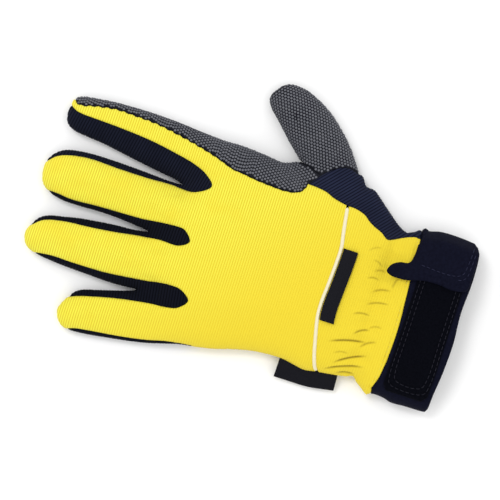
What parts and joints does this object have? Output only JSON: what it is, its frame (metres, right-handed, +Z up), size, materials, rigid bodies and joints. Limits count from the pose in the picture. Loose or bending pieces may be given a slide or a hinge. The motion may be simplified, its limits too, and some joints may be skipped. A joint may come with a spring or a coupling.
{
  "type": "fishing glove",
  "caption": "Left-hand fishing glove: ribbed knit back in yellow, black knit between the fingers, grey plated palm, gathered wrist and a neoprene cuff closed by a hook-and-loop strap.",
  "frame": {"origin": "centre of the glove's bounding box, on the surface it lies on", "axes": "+Y towards the fingertips, +X to the thumb side, +Z up out of the back of the hand"},
  "size_m": [0.161, 0.234, 0.0269],
  "materials": {
    "yellow_knit": "ribbed knit",
    "black_knit": "ribbed knit",
    "plated_fabric": "matte plates on cloth",
    "neoprene": "smooth matte",
    "loop_fabric": "brushed loops",
    "woven_label": "satin weave",
    "piping": "smooth"
  },
  "bodies": {
    "root": {"back_panel": "yellow_knit", "wrist_panel": "yellow_knit", "palm_panel": "plated_fabric", "thumb_back": "plated_fabric", "fourchette_little_ring": "black_knit", "fourchette_ring_middle": "black_knit", "fourchette_middle_index": "black_knit", "little_side_strip": "black_knit", "wrist_gusset": "black_knit", "piping": "piping", "size_label": "woven_label", "side_label": "woven_label", "cuff_band": "neoprene", "loop_patch": "loop_fabric", "closure_strap": "neoprene"}
  },
  "joints": []
}
